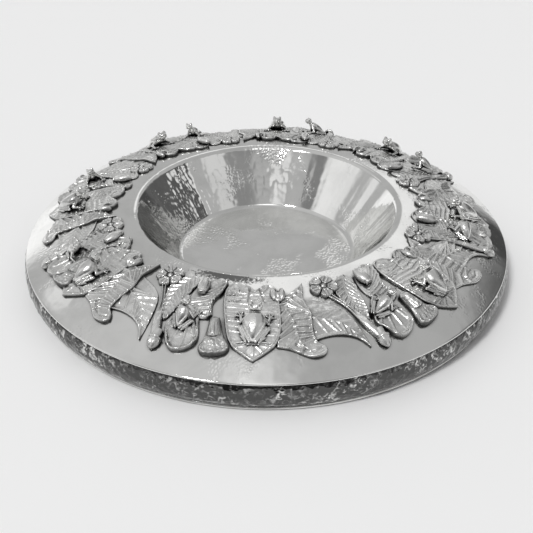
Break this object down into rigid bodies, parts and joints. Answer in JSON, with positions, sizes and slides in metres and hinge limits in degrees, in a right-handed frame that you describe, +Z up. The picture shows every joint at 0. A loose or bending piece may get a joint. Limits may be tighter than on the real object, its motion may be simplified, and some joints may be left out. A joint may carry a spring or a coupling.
{
  "type": "offering plate",
  "caption": "Wide low polished metal dish: a conical bowl sunk in a broad domed rim set with cast frogs on leaves, flowers and buds, with a hammered edge belt and a foot wire.",
  "frame": {"origin": "centre of the foot wire's bottom plane, on the table", "axes": "+Z up along the dish's axis, -Y towards the viewer"},
  "size_m": [0.4598, 0.4598, 0.0679],
  "materials": {
    "bowl_silver": "mirror-polished hammered silver, faint hammer marks",
    "rim_silver": "polished silver, lightly planished",
    "belt_silver": "polished silver, strongly hammered",
    "leaf_silver": "cast silver, polished high spots and darker recesses",
    "frog_silver": "cast silver, bright polish with darker creases"
  },
  "bodies": {
    "root": {"bowl": "bowl_silver", "rim_dome": "rim_silver", "edge_belt": "belt_silver", "foot_wire": "belt_silver", "heart_leaf_1": "leaf_silver", "heart_leaf_2": "leaf_silver", "heart_leaf_3": "leaf_silver", "heart_leaf_4": "leaf_silver", "heart_leaf_5": "leaf_silver", "heart_leaf_6": "leaf_silver", "heart_leaf_7": "leaf_silver", "heart_leaf_8": "leaf_silver", "frog_large_1": "frog_silver", "frog_large_2": "frog_silver", "frog_large_3": "frog_silver", "frog_large_4": "frog_silver", "frog_large_5": "frog_silver", "frog_large_6": "frog_silver", "frog_large_7": "frog_silver", "frog_large_8": "frog_silver", "ribbed_leaf_1": "leaf_silver", "ribbed_leaf_2": "leaf_silver", "ribbed_leaf_3": "leaf_silver", "ribbed_leaf_4": "leaf_silver", "ribbed_leaf_5": "leaf_silver", "ribbed_leaf_6": "leaf_silver", "ribbed_leaf_7": "leaf_silver", "ribbed_leaf_8": "leaf_silver", "pointed_leaf_1": "leaf_silver", "pointed_leaf_2": "leaf_silver", "pointed_leaf_3": "leaf_silver", "pointed_leaf_4": "leaf_silver", "pointed_leaf_5": "leaf_silver", "pointed_leaf_6": "leaf_silver", "pointed_leaf_7": "leaf_silver", "pointed_leaf_8": "leaf_silver", "frog_small_1": "frog_silver", "frog_small_2": "frog_silver", "frog_small_3": "frog_silver", "frog_small_4": "frog_silver", "frog_small_5": "frog_silver", "frog_small_6": "frog_silver", "frog_small_7": "frog_silver", "frog_small_8": "frog_silver", "five_petal_flowers": "leaf_silver", "bud_stems": "leaf_silver", "stem_buds": "leaf_silver", "fishbone_leaves": "leaf_silver", "round_leaves": "leaf_silver", "bell_flowers": "leaf_silver", "small_flowers": "leaf_silver", "closed_buds": "leaf_silver", "side_leaves": "leaf_silver", "tulip_buds": "leaf_silver"}
  },
  "joints": []
}
